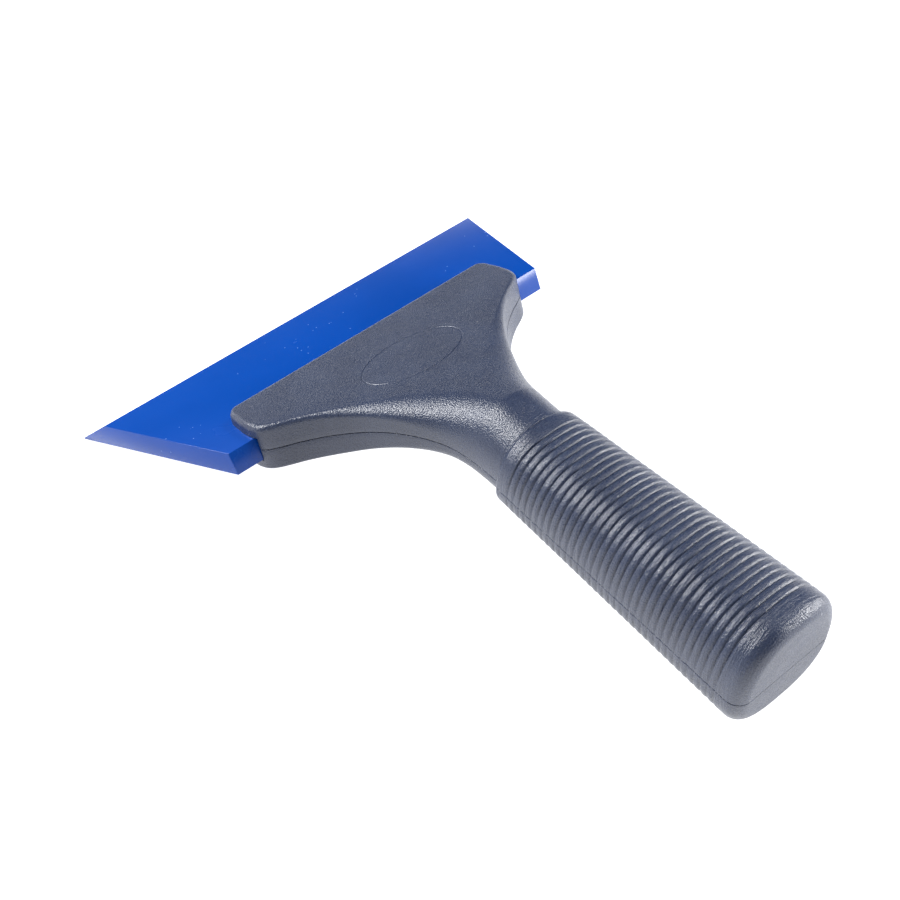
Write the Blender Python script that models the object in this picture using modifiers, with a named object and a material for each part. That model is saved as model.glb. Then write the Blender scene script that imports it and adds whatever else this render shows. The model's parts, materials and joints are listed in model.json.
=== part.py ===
"""Hand squeegee: a bevelled plate blade clamped in a two-shell handle with a ribbed grip."""

import math

import bmesh
import bpy
import mathutils

MM = 0.001

# Blade: a plate whose working edge is wider than its back edge, its underside reaching furthest back
BLADE_FRONT_WIDTH = 150.0
BLADE_BACK_WIDTH = 117.0
BLADE_DEPTH = 59.0
BLADE_THICKNESS = 6.9
BLADE_BEVEL = 11.4
BLADE_TIP = 0.4
BLADE_BACK_SLOPE = 1.2

# Clamp head: two jaws that hold the blade's back edge
BLADE_IN_JAWS = 14.0
UPPER_JAW = 4.1
LOWER_JAW = 3.2
HEAD_HALF_WIDTH = 50.0
HEAD_CORNER = 4.0
HEAD_FLARE = 0.3
HEAD_DRAFT = 0.3
SLOT_GAP = 0.25

# Neck and grip: the grip is bent down from the blade's plane.
BEND_ANGLE = math.radians(20.6)
BEND_RADIUS = 77.0
BEND_BEHIND_CORNER = 17.8
NECK_HALF_WIDTH = 13.3
NECK_LENGTH = 27.0
BAND_LENGTH = 5.3
BAND_STEP = 0.7
GRIP_HALF_WIDTH = (15.2, 18.0)
GRIP_ABOVE = (15.5, 20.2)
GRIP_BELOW = (10.4, 14.6)
GRIP_ROUND = 2.3

# How the head's flat top and sharp edges turn into the round neck
NECK_SHORT_OF_GRIP = 16.0
RISE_START_SHARE = 0.4
DROP_LEAD = 4.0
SOFT_START = 8.0
BASE_SOFT_LATER = 5.0
SOFT_LENGTH_CUT = 10.0
NECK_LOWER_THAN_GRIP = (0.4, 0.8)
FULL_FILLET = 0.93
FULL_RISE = 0.9

# Grooves round the grip
GROOVE_COUNT = 34
GROOVE_PITCH = 2.32
GROOVE_WIDTH = 0.8
GROOVE_DEPTH = 0.55
CAP_LENGTH = 8.0
CAP_FILLET = 4.5

# Shells
PARTING_GAP = 0.3
WALL = 2.8
HEAD_WALL = 4.0
EDGE_FILLET = 1.8
BASE_FILLET = 0.9

# Oval ring on the head's top
RING_BEHIND_BLADE = 12.0
RING_HALF = (17.2, 10.4)
RING_WIDTH = 0.6
RING_DEPTH = 0.35

# Clamp screws, with washers and captive nuts
CLAMP_FROM_FLANK = 22.0
CLAMP_BEHIND_BLADE = 9.0
CLAMP_SHANK = 2.0
CLAMP_HEAD = 3.5
CLAMP_HEAD_HEIGHT = 1.9
CLAMP_BOSS = 5.9
CLAMP_TIP_GAP = 0.5
WASHER_THICKNESS = 0.8
NUT_ACROSS_FLATS = 7.0
NUT_THICKNESS = 3.2
NUT_ABOVE_PARTING = 0.4

# Screws that join the shells
SHELL_SHANK = 1.5
SHELL_HEAD = 2.8
SHELL_HEAD_HEIGHT = 1.8
SHELL_BOSS = 4.3
SHELL_SEAT = 3.2
SHELL_REACH = 8.5
SHELL_TIP_GAP = 0.6

# Screw details
SCREW_POINT = (0.4, 0.6)
HEAD_CHAMFER = (0.7, 0.6)
RECESS_REACH = 0.55
RECESS_HALF_WIDTH = 0.45
RECESS_DEPTH = 1.0

CLEAR = 0.2
SKIN = 2.2
OVERSHOOT = 1.0
ARC_STEPS = 7
RING_STEPS = 48

PARTING_Z = BLADE_THICKNESS / 2
HEAD_TOP = BLADE_THICKNESS + UPPER_JAW
HEAD_BOTTOM = -LOWER_JAW
JAW_FRONT = BLADE_DEPTH - BLADE_IN_JAWS
SLOT_END = BLADE_DEPTH + BLADE_BACK_SLOPE + SLOT_GAP
BACK_CORNER_START = BLADE_DEPTH - 1.0
BEND_START = BACK_CORNER_START + BEND_BEHIND_CORNER
RING_CENTRE_Y = BLADE_DEPTH + RING_BEHIND_BLADE
CLAMP_X = HEAD_HALF_WIDTH - CLAMP_FROM_FLANK
CLAMP_Y = BLADE_DEPTH + CLAMP_BEHIND_BLADE
GROOVED_LENGTH = GROOVE_PITCH * (GROOVE_COUNT - 1)
ARC_LENGTH = BEND_RADIUS * BEND_ANGLE
GRIP_START = BEND_START + ARC_LENGTH + NECK_LENGTH - BAND_LENGTH


def material(name, colour, roughness, metallic):
    made = bpy.data.materials.new(name)
    made.use_nodes = True
    shader = made.node_tree.nodes["Principled BSDF"]
    shader.inputs["Base Color"].default_value = (*colour, 1.0)
    shader.inputs["Roughness"].default_value = roughness
    shader.inputs["Metallic"].default_value = metallic
    return made


def clear_scene():
    for found in list(bpy.data.objects):
        bpy.data.objects.remove(found)


def new_collection(name):
    made = bpy.data.collections.new(name)
    bpy.context.scene.collection.children.link(made)
    return made


def new_object(name, bm, collection):
    mesh = bpy.data.meshes.new(name)
    bm.to_mesh(mesh)
    bm.free()
    made = bpy.data.objects.new(name, mesh)
    collection.objects.link(made)
    return made


def spine(along):
    """Point (y, z) and downward angle of the parting line; along starts at y = 0 in the blade's plane."""
    if along <= BEND_START:
        return along, PARTING_Z, 0.0
    if along <= BEND_START + ARC_LENGTH:
        angle = (along - BEND_START) / BEND_RADIUS
        y = BEND_START + BEND_RADIUS * math.sin(angle)
        return y, PARTING_Z - BEND_RADIUS * (1 - math.cos(angle)), angle
    rest = along - BEND_START - ARC_LENGTH
    y = BEND_START + BEND_RADIUS * math.sin(BEND_ANGLE) + rest * math.cos(BEND_ANGLE)
    z = PARTING_Z - BEND_RADIUS * (1 - math.cos(BEND_ANGLE)) - rest * math.sin(BEND_ANGLE)
    return y, z, BEND_ANGLE


def place(along, x, up):
    """A point across (x) and above (up) the parting line, in metres."""
    y, z, angle = spine(along)
    return mathutils.Vector((x, y + up * math.sin(angle), z + up * math.cos(angle))) * MM


def frame_at(along):
    """The matrix that stands a shape on the parting line, its Z along the local upward direction."""
    turn = mathutils.Matrix.Rotation(-spine(along)[2], 4, "X")
    return mathutils.Matrix.Translation(place(along, 0, 0)) @ turn


def blend(low, high, share):
    return low + (high - low) * share


def ease(share):
    share = min(max(share, 0.0), 1.0)
    return share * share * (3 - 2 * share)


def head_stations():
    """Half width of the clamp head in plan, front corners to the start of the flank."""
    front = HEAD_HALF_WIDTH - HEAD_DRAFT - HEAD_FLARE
    made = []
    for step in range(4):
        angle = math.radians(30 * step)
        y = JAW_FRONT + HEAD_CORNER * (1 - math.cos(angle))
        made.append((y, front - HEAD_CORNER * (1 - math.sin(angle))))
    made.append((BACK_CORNER_START - 4, HEAD_HALF_WIDTH - HEAD_DRAFT))
    return made


def flank_stations():
    """The concave flank from the head's back corner into the neck, as shares of the width left."""
    shares = (
        (0.0, 1.0), (2.4, 0.985), (4.4, 0.95), (6.4, 0.88), (9.4, 0.745),
        (13.4, 0.60), (17.8, 0.475), (22.5, 0.362), (27.5, 0.262), (32.5, 0.18),
        (37.5, 0.11), (43.5, 0.045), (50.0, 0.01), (56.0, 0.0),
    )
    span = HEAD_HALF_WIDTH - NECK_HALF_WIDTH
    flank_end = BEND_START + ARC_LENGTH + NECK_LENGTH - NECK_SHORT_OF_GRIP
    stretch = (flank_end - BACK_CORNER_START) / shares[-1][0]
    return [(BACK_CORNER_START + y * stretch, NECK_HALF_WIDTH + span * share) for y, share in shares]


def section_sizes(along, width):
    """Height above and below the parting line and the fillets' sizes at one station of head and neck."""
    angle = spine(along)[2]
    neck_end = GRIP_START - BAND_LENGTH
    flat_above = (HEAD_TOP - spine(along)[1]) / math.cos(angle)
    rise_start = BEND_START + RISE_START_SHARE * ARC_LENGTH
    reach = ease((along - rise_start) / (neck_end - rise_start))
    above = min(flat_above, blend(flat_above, GRIP_ABOVE[0] - NECK_LOWER_THAN_GRIP[0], reach))
    drop = ease((along - BEND_START + DROP_LEAD) / (neck_end - BEND_START + DROP_LEAD))
    below = blend(PARTING_Z - HEAD_BOTTOM, GRIP_BELOW[0] - NECK_LOWER_THAN_GRIP[1], drop)
    soft_start = BACK_CORNER_START + SOFT_START
    soft = ease((along - soft_start) / (neck_end - soft_start - SOFT_LENGTH_CUT))
    top = (blend(EDGE_FILLET, FULL_FILLET * width, soft), blend(EDGE_FILLET, FULL_RISE * above, soft))
    soft_start += BASE_SOFT_LATER
    soft = ease((along - soft_start) / (neck_end - soft_start - SOFT_LENGTH_CUT))
    base = (blend(BASE_FILLET, FULL_FILLET * width, soft), blend(BASE_FILLET, FULL_RISE * below, soft))
    return above, below, top, base


def grip_sizes(out):
    """Grip section this far past the first groove, groove depth left out."""
    share = out / GROOVED_LENGTH
    width = blend(*GRIP_HALF_WIDTH, share)
    above = blend(*GRIP_ABOVE, share)
    below = blend(*GRIP_BELOW, share)
    return width, above, below


def half_curve(width, height, fillet, start, power):
    """One half section from rim to rim: wall, fillet, flat, and the same mirrored."""
    across, rise = fillet
    quarter = [(width, start), (width, height - rise)]
    for step in range(1, ARC_STEPS + 1):
        angle = math.pi / 2 * step / ARC_STEPS
        x = width - across + across * math.cos(angle) ** (2 / power)
        quarter.append((x, height - rise + rise * math.sin(angle) ** (2 / power)))
    return quarter + [(0.0, height)] + [(-x, z) for x, z in reversed(quarter)]


def outer_stations():
    """(along, half width, above, below, top fillet, bottom fillet, power) from the jaws to the end face."""
    rows = []
    for along, width in head_stations() + flank_stations():
        above, below, top, base = section_sizes(along, width)
        rows.append((along, width, above, below, top, base, 2.0))
    neck_end = GRIP_START - BAND_LENGTH
    above, below, top, base = section_sizes(neck_end, NECK_HALF_WIDTH)
    rows.append((neck_end, NECK_HALF_WIDTH, above, below, top, base, 2.0))

    def grip_row(out, inset):
        width, up, down = grip_sizes(out)
        width -= inset
        up -= inset
        down -= inset
        top_fillet = (FULL_FILLET * width, FULL_FILLET * up)
        base_fillet = (FULL_FILLET * width, FULL_FILLET * down)
        rows.append((GRIP_START + out, width, up, down, top_fillet, base_fillet, GRIP_ROUND))

    grip_row(0.4 - BAND_LENGTH, BAND_STEP)
    grip_row(1.0 - BAND_LENGTH, 0.15)
    grip_row(1.9 - BAND_LENGTH, 0.0)
    for number in range(GROOVE_COUNT):
        middle = number * GROOVE_PITCH
        grip_row(middle - GROOVE_WIDTH / 2, 0.0)
        grip_row(middle, GROOVE_DEPTH)
        grip_row(middle + GROOVE_WIDTH / 2, 0.0)
    for step in range(5):
        angle = math.radians(22.5 * step)
        out = GROOVED_LENGTH + CAP_LENGTH - CAP_FILLET * (1 - math.sin(angle))
        grip_row(out, CAP_FILLET * (1 - math.cos(angle)))
    return rows


def cavity_stations():
    """The hollow inside the shells, as plain sections that follow the outside."""
    rows = []
    for along, width in flank_stations()[3:]:
        above, below, top, base = section_sizes(along, width)
        wall = blend(HEAD_WALL, WALL, ease((along - BEND_START) / NECK_LENGTH))
        inner_top = (max(top[0] - wall, 1.0), max(top[1] - wall, 1.0))
        inner_base = (max(base[0] - wall, 1.0), max(base[1] - wall, 1.0))
        rows.append((along, width - wall, above - WALL, below - WALL, inner_top, inner_base, 2.0))
    for share in (0.0, 0.25, 0.5, 0.75, 1.0):
        out = blend(0.0, GROOVED_LENGTH + CAP_LENGTH - WALL - 1.0, share)
        width, up, down = grip_sizes(out)
        inset = WALL + (2.0 if share == 1.0 else 0.0)
        top = (0.9 * (width - inset), 0.9 * (up - inset))
        base = (0.9 * (width - inset), 0.9 * (down - inset))
        rows.append((GRIP_START + out, width - inset, up - inset, down - inset, top, base, GRIP_ROUND))
    return rows


def loft(stations, side, start):
    """A closed half body: side +1 is above the parting line, -1 below."""
    bm = bmesh.new()
    loops = []
    for along, width, above, below, top, base, power in stations:
        height, fillet = (above, top) if side > 0 else (below, base)
        points = half_curve(width, height, fillet, start, power)
        loops.append([bm.verts.new(place(along, x, side * up)) for x, up in points])
    for near, far in zip(loops, loops[1:]):
        for index in range(len(near)):
            after = (index + 1) % len(near)
            bm.faces.new((near[index], near[after], far[after], far[index]))
    bm.faces.new(loops[0])
    bm.faces.new(list(reversed(loops[-1])))
    bmesh.ops.triangulate(bm, faces=[face for face in bm.faces if len(face.verts) > 4])
    bmesh.ops.recalc_face_normals(bm, faces=bm.faces)
    return bm


def cylinder(name, radius, low, high, matrix, collection, segments=32):
    bm = bmesh.new()
    shift = mathutils.Matrix.Translation((0, 0, (low + high) / 2 * MM))
    bmesh.ops.create_cone(
        bm, cap_ends=True, segments=segments, radius1=radius * MM, radius2=radius * MM,
        depth=(high - low) * MM, matrix=matrix @ shift,
    )
    return new_object(name, bm, collection)


def box(name, low, high, matrix, collection):
    bm = bmesh.new()
    size = [(b - a) * MM for a, b in zip(low, high)]
    middle = [(a + b) / 2 * MM for a, b in zip(low, high)]
    scale = mathutils.Matrix.Diagonal((*size, 1.0))
    shift = mathutils.Matrix.Translation(middle)
    bmesh.ops.create_cube(bm, size=1.0, matrix=matrix @ shift @ scale)
    return new_object(name, bm, collection)


def apply_boolean(target, cutters, operation):
    """Cuts or joins several helpers in one step, then splits the result into triangles."""
    group = bpy.data.collections.new(f"{target.name}_{operation.lower()}")
    CUTTERS.children.link(group)
    for cutter in cutters:
        CUTTERS.objects.unlink(cutter)
        group.objects.link(cutter)
        cutter.hide_render = True
        cutter.display_type = "WIRE"
    modifier = target.modifiers.new("shape", "BOOLEAN")
    modifier.operand_type = "COLLECTION"
    modifier.collection = group
    modifier.operation = operation
    modifier.solver = "EXACT"
    graph = bpy.context.evaluated_depsgraph_get()
    mesh = bpy.data.meshes.new_from_object(target.evaluated_get(graph))
    target.modifiers.remove(modifier)
    target.data = mesh
    bm = bmesh.new()
    bm.from_mesh(mesh)
    bmesh.ops.remove_doubles(bm, verts=bm.verts, dist=0.000002)
    bmesh.ops.triangulate(bm, faces=bm.faces)
    bm.to_mesh(mesh)
    bm.free()


def turned(name, profile, collection, segments=32):
    """A round piece from its outline, spun about Z; the outline runs down its outer side."""
    bm = bmesh.new()
    points = [bm.verts.new((radius * MM, 0, z * MM)) for radius, z in profile]
    for near, far in zip(points, points[1:]):
        bm.edges.new((near, far))
    made = new_object(name, bm, collection)
    screw = made.modifiers.new("turn", "SCREW")
    screw.steps = segments
    screw.render_steps = segments
    screw.use_merge_vertices = True
    screw.merge_threshold = 0.00001
    graph = bpy.context.evaluated_depsgraph_get()
    mesh = bpy.data.meshes.new_from_object(made.evaluated_get(graph))
    made.modifiers.remove(screw)
    made.data = mesh
    clean = bmesh.new()
    clean.from_mesh(mesh)
    bmesh.ops.remove_doubles(clean, verts=clean.verts, dist=0.000005)
    bmesh.ops.recalc_face_normals(clean, faces=clean.faces)
    clean.to_mesh(mesh)
    clean.free()
    return made


def screw_piece(name, shank, head, head_height, length, matrix):
    """A pan head screw; its head's seat is at local z = 0 and its shank points up."""
    profile = (
        (0.0, length), (shank - SCREW_POINT[0], length), (shank, length - SCREW_POINT[1]), (shank, 0.0),
        (head, 0.0), (head, HEAD_CHAMFER[1] - head_height),
        (head - HEAD_CHAMFER[0], -head_height), (0.0, -head_height),
    )
    made = turned(name, profile, PARTS)
    slots = []
    for number in range(2):
        turn = mathutils.Matrix.Rotation(math.radians(90 * number), 4, "Z")
        slots.append(box(
            f"{name}_recess_{number + 1}",
            (-head * RECESS_REACH, -RECESS_HALF_WIDTH, -head_height - OVERSHOOT),
            (head * RECESS_REACH, RECESS_HALF_WIDTH, RECESS_DEPTH - head_height),
            turn, CUTTERS,
        ))
    apply_boolean(made, slots, "DIFFERENCE")
    made.matrix_world = matrix
    made.data.materials.append(STEEL)
    return made


def build_blade():
    bm = bmesh.new()
    outline = (
        (0.0, 0.0), (0.0, BLADE_TIP), (BLADE_BEVEL, BLADE_THICKNESS),
        (BLADE_DEPTH, BLADE_THICKNESS), (BLADE_DEPTH + BLADE_BACK_SLOPE, 0.0),
    )
    ends = []
    for side in (1, -1):
        end = []
        for y, z in outline:
            half = blend(BLADE_FRONT_WIDTH, BLADE_BACK_WIDTH, y / BLADE_DEPTH) / 2
            end.append(bm.verts.new((side * half * MM, y * MM, z * MM)))
        ends.append(end)
    for index in range(len(outline)):
        after = (index + 1) % len(outline)
        bm.faces.new((ends[0][index], ends[0][after], ends[1][after], ends[1][index]))
    bm.faces.new(ends[0])
    bm.faces.new(list(reversed(ends[1])))
    bmesh.ops.recalc_face_normals(bm, faces=bm.faces)
    made = new_object("squeegee_blade", bm, PARTS)
    made.data.materials.append(BLUE)
    return made


def oval_ring():
    """The cutter for the shallow oval line on the head's top."""
    bm = bmesh.new()
    steps = RING_STEPS
    loops = []
    for grow, low in ((0, 0), (1, 0), (1, 1), (0, 1)):
        half_x = RING_HALF[0] - RING_WIDTH * (1 - grow)
        half_y = RING_HALF[1] - RING_WIDTH * (1 - grow)
        z = HEAD_TOP - RING_DEPTH if low else HEAD_TOP + OVERSHOOT
        loop = []
        for step in range(steps):
            angle = 2 * math.pi * step / steps
            x = half_x * math.cos(angle)
            y = RING_CENTRE_Y + half_y * math.sin(angle)
            loop.append(bm.verts.new(mathutils.Vector((x, y, z)) * MM))
        loops.append(loop)
    for number, near in enumerate(loops):
        far = loops[(number + 1) % len(loops)]
        for step in range(steps):
            after = (step + 1) % steps
            bm.faces.new((near[step], near[after], far[after], far[step]))
    bmesh.ops.recalc_face_normals(bm, faces=bm.faces)
    return new_object("ring_cutter", bm, CUTTERS)


def clamp_matrix(side):
    return mathutils.Matrix.Translation((side * CLAMP_X * MM, CLAMP_Y * MM, 0))


def shell_screw_places():
    """(name, distance along the parting line) of the screws that join the shells."""
    neck = BEND_START + ARC_LENGTH + 1.0
    return (
        ("neck_screw", neck),
        ("front_grip_screw", GRIP_START + 0.2 * GROOVED_LENGTH),
        ("rear_grip_screw", GRIP_START + 0.82 * GROOVED_LENGTH),
    )


def height_inside(along, side):
    """How far the outside stands from the parting line, at the middle."""
    if along >= GRIP_START:
        return grip_sizes(along - GRIP_START)[1 if side > 0 else 2]
    return section_sizes(along, NECK_HALF_WIDTH)[0 if side > 0 else 1]


def build_shell(name, side):
    start = PARTING_GAP / 2
    shell = new_object(name, loft(outer_stations(), side, start), PARTS)

    # The hollow, and half of the blade's slot, open at the front and at both ends
    cavity = new_object(f"{name}_cavity", loft(cavity_stations(), side, -1.0), CUTTERS)
    reach = HEAD_HALF_WIDTH + 5
    low = PARTING_Z - OVERSHOOT if side > 0 else -SLOT_GAP
    high = BLADE_THICKNESS + SLOT_GAP if side > 0 else PARTING_Z + OVERSHOOT
    slot = box(
        f"{name}_slot", (-reach, JAW_FRONT - 5, low), (reach, SLOT_END, high),
        mathutils.Matrix.Identity(4), CUTTERS,
    )
    apply_boolean(cavity, bosses(name, side), "DIFFERENCE")
    holes = clamp_holes(name, side) + shell_screw_holes(name, side)
    if side > 0:
        holes.append(oval_ring())
    apply_boolean(shell, [cavity, slot] + holes, "DIFFERENCE")
    shell.data.materials.append(PLASTIC)
    return shell


def bosses(name, side):
    """Posts left standing in the hollow round each screw, from the parting line to the skin."""
    made = []
    for number, where in enumerate((-1, 1)):
        low, high = (PARTING_Z - 3, HEAD_TOP) if side > 0 else (HEAD_BOTTOM, PARTING_Z + 3)
        matrix = clamp_matrix(where)
        made.append(cylinder(f"{name}_clamp_boss_{number + 1}", CLAMP_BOSS, low, high, matrix, CUTTERS))
    for screw_name, along in shell_screw_places():
        deep = height_inside(along, side)
        low, high = (-3, deep) if side > 0 else (-deep, 3)
        made.append(cylinder(f"{name}_{screw_name}_boss", SHELL_BOSS, low, high, frame_at(along), CUTTERS))
    return made


def clamp_holes(name, side):
    """Holes for the clamp screws, with recesses for their heads below and for the nuts above."""
    made = []
    for number, where in enumerate((-1, 1)):
        matrix = clamp_matrix(where)
        if side > 0:
            corner = (NUT_ACROSS_FLATS / 2 + CLEAR) / math.cos(math.pi / 6)
            pocket_high = PARTING_Z + NUT_ABOVE_PARTING + NUT_THICKNESS + CLEAR
            made.append(
                cylinder(
                    f"{name}_nut_pocket_{number + 1}", corner, PARTING_Z - OVERSHOOT, pocket_high,
                    matrix, CUTTERS, 6,
                )
            )
            low, high = PARTING_Z - 2 * OVERSHOOT, HEAD_TOP - SKIN
        else:
            radius = CLAMP_HEAD + 2 * CLEAR
            made.append(
                cylinder(
                    f"{name}_head_recess_{number + 1}", radius, HEAD_BOTTOM - OVERSHOOT, 0.0, matrix, CUTTERS,
                )
            )
            low, high = HEAD_BOTTOM - 2 * OVERSHOOT, PARTING_Z + OVERSHOOT
        made.append(
            cylinder(f"{name}_clamp_hole_{number + 1}", CLAMP_SHANK + CLEAR, low, high, matrix, CUTTERS)
        )
    return made


def shell_screw_holes(name, side):
    """Holes for the screws that join the shells, with deep recesses for their heads below."""
    made = []
    for screw_name, along in shell_screw_places():
        matrix = frame_at(along)
        deep = height_inside(along, side)
        if side > 0:
            radius = SHELL_SHANK + CLEAR / 2
            made.append(
                cylinder(
                    f"{name}_{screw_name}_hole", radius, -OVERSHOOT, SHELL_REACH + SHELL_TIP_GAP,
                    matrix, CUTTERS, 24,
                )
            )
            continue
        low = -deep - 3 * OVERSHOOT
        made.append(
            cylinder(f"{name}_{screw_name}_hole", SHELL_SHANK + CLEAR, low, OVERSHOOT, matrix, CUTTERS, 24)
        )
        radius = SHELL_HEAD + 1.5 * CLEAR
        made.append(
            cylinder(f"{name}_{screw_name}_recess", radius, low - OVERSHOOT, -SHELL_SEAT, matrix, CUTTERS, 24)
        )
    return made


def smooth(made, angle=40):
    for face in made.data.polygons:
        face.use_smooth = True
    made.data.set_sharp_from_angle(angle=math.radians(angle))


def build_clamp(side, word):
    matrix = clamp_matrix(side)
    washer_low = -CLEAR - WASHER_THICKNESS
    washer = turned(
        f"clamp_washer_{word}",
        (
            (CLAMP_SHANK + CLEAR, washer_low + WASHER_THICKNESS),
            (CLAMP_HEAD + CLEAR, washer_low + WASHER_THICKNESS),
            (CLAMP_HEAD + CLEAR, washer_low), (CLAMP_SHANK + CLEAR, washer_low),
            (CLAMP_SHANK + CLEAR, washer_low + WASHER_THICKNESS),
        ),
        PARTS,
    )
    washer.matrix_world = matrix
    washer.data.materials.append(STEEL)
    seat = mathutils.Matrix.Translation((0, 0, (washer_low - CLEAR / 2) * MM))
    length = HEAD_TOP - SKIN - CLAMP_TIP_GAP - washer_low
    screw = screw_piece(
        f"clamp_screw_{word}", CLAMP_SHANK, CLAMP_HEAD, CLAMP_HEAD_HEIGHT, length, matrix @ seat,
    )
    low = PARTING_Z + NUT_ABOVE_PARTING
    nut = cylinder(
        f"captive_nut_{word}", NUT_ACROSS_FLATS / 2 / math.cos(math.pi / 6), low, low + NUT_THICKNESS,
        mathutils.Matrix.Identity(4), PARTS, 6,
    )
    hole = cylinder(
        f"captive_nut_{word}_hole", CLAMP_SHANK + CLEAR / 2, low - OVERSHOOT, low + NUT_THICKNESS + OVERSHOOT,
        mathutils.Matrix.Identity(4), CUTTERS,
    )
    apply_boolean(nut, [hole], "DIFFERENCE")
    nut.matrix_world = matrix
    nut.data.materials.append(BRASS)
    return [washer, screw, nut]


def lay_on_surface(pieces):
    """Leans the tool as it lies on a table, on its working edge and the grip's end, centred over the origin."""
    bpy.context.view_layer.update()
    points = [piece.matrix_world @ vertex.co for piece in pieces for vertex in piece.data.vertices]
    lean = max(math.atan2(-point.z, point.y) for point in points if point.y > 0.05)
    turn = mathutils.Matrix.Rotation(lean, 4, "X")
    turned_points = [turn @ point for point in points]
    lows = [min(point[axis] for point in turned_points) for axis in range(3)]
    highs = [max(point[axis] for point in turned_points) for axis in range(3)]
    holder = bpy.data.objects.new("tool_frame", None)
    PARTS.objects.link(holder)
    holder.rotation_euler = (lean, 0, 0)
    holder.location = (-(lows[0] + highs[0]) / 2, -(lows[1] + highs[1]) / 2, -lows[2])
    for piece in pieces:
        piece.parent = holder
    bpy.context.view_layer.update()


clear_scene()
PARTS = new_collection("squeegee_applicator")
CUTTERS = new_collection("cutters")
BLUE = material("blue_polyurethane", (0.008, 0.085, 0.50), 0.35, 0.0)
PLASTIC = material("dark_grey_plastic", (0.060, 0.068, 0.095), 0.45, 0.0)
STEEL = material("zinc_plated_steel", (0.60, 0.60, 0.62), 0.35, 1.0)
BRASS = material("brass", (0.62, 0.47, 0.20), 0.35, 1.0)

pieces = [build_blade(), build_shell("upper_handle_shell", 1), build_shell("lower_handle_shell", -1)]
for side, word in ((-1, "right"), (1, "left")):
    pieces += build_clamp(side, word)
for name, along in shell_screw_places():
    seat = mathutils.Matrix.Translation((0, 0, (-SHELL_SEAT - CLEAR) * MM))
    length = SHELL_SEAT + CLEAR + SHELL_REACH
    pieces.append(
        screw_piece(name, SHELL_SHANK, SHELL_HEAD, SHELL_HEAD_HEIGHT, length, frame_at(along) @ seat)
    )
for piece in pieces:
    if piece.name != "squeegee_blade":
        smooth(piece)
lay_on_surface(pieces)
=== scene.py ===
import json
import math

import bmesh
import bpy
from mathutils import Matrix, Vector

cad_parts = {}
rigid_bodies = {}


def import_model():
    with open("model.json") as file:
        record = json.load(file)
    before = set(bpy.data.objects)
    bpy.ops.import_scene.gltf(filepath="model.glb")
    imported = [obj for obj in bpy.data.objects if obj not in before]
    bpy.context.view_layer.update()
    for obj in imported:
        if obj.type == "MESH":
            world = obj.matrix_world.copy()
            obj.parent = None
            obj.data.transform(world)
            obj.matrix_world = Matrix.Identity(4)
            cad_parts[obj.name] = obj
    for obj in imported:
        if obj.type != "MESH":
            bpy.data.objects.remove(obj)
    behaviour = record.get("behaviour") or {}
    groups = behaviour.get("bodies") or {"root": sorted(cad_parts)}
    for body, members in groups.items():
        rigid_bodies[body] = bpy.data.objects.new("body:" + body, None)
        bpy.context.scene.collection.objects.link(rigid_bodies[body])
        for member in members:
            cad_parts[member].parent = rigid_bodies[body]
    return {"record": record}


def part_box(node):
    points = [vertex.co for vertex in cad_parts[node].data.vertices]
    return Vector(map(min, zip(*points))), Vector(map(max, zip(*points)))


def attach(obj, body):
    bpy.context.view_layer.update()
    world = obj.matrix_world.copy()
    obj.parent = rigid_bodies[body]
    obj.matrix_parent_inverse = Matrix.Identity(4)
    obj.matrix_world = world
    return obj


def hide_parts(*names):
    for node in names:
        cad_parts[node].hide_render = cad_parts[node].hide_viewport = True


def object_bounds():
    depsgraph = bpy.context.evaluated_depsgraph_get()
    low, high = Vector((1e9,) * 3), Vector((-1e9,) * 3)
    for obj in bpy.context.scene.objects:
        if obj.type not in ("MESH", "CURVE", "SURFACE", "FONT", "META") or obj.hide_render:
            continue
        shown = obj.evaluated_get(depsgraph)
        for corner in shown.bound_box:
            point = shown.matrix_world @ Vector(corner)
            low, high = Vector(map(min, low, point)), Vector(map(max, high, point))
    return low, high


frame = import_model()
cadLow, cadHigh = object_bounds()
mm = 0.001
mergeDistance = 0.000001

# Every length below is in millimetres. The tool's own frame has X across, Y from the working edge
# to the grip and Z up from the blade's underside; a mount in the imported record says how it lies.
padPlace = {"behindEdge": 71.0, "aboveBlade": 11.0}


def toolFrame():
    pad = next(m for m in frame["record"]["mounts"] if m["name"] == "head_top_pad")
    lean = math.atan2(-pad["axis"][1], pad["axis"][2])
    back = Vector((0, padPlace["behindEdge"], padPlace["aboveBlade"])) * -mm
    return Matrix.Translation(pad["pos_m"]) @ Matrix.Rotation(lean, 4, "X") @ Matrix.Translation(back)


tool = toolFrame()


def mix(low, high, share):
    return low + (high - low) * share


def ease(share):
    share = min(max(share, 0.0), 1.0)
    return share * share * (3 - 2 * share)


def smoothCurve(points, x):
    # a smooth curve through the points, flat past both ends
    if x <= points[0][0]:
        return points[0][1]
    if x >= points[-1][0]:
        return points[-1][1]
    last = len(points) - 1
    spot = next(n for n in range(last) if points[n + 1][0] >= x)

    def slope(n):
        low, high = max(n - 1, 0), min(n + 1, last)
        return (points[high][1] - points[low][1]) / (points[high][0] - points[low][0])

    (x0, y0), (x1, y1) = points[spot], points[spot + 1]
    wide = x1 - x0
    t = (x - x0) / wide
    rise = y0 * (2 * t**3 - 3 * t * t + 1) + y1 * (3 * t * t - 2 * t**3)
    return rise + wide * (slope(spot) * (t**3 - 2 * t * t + t) + slope(spot + 1) * (t**3 - t * t))


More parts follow.
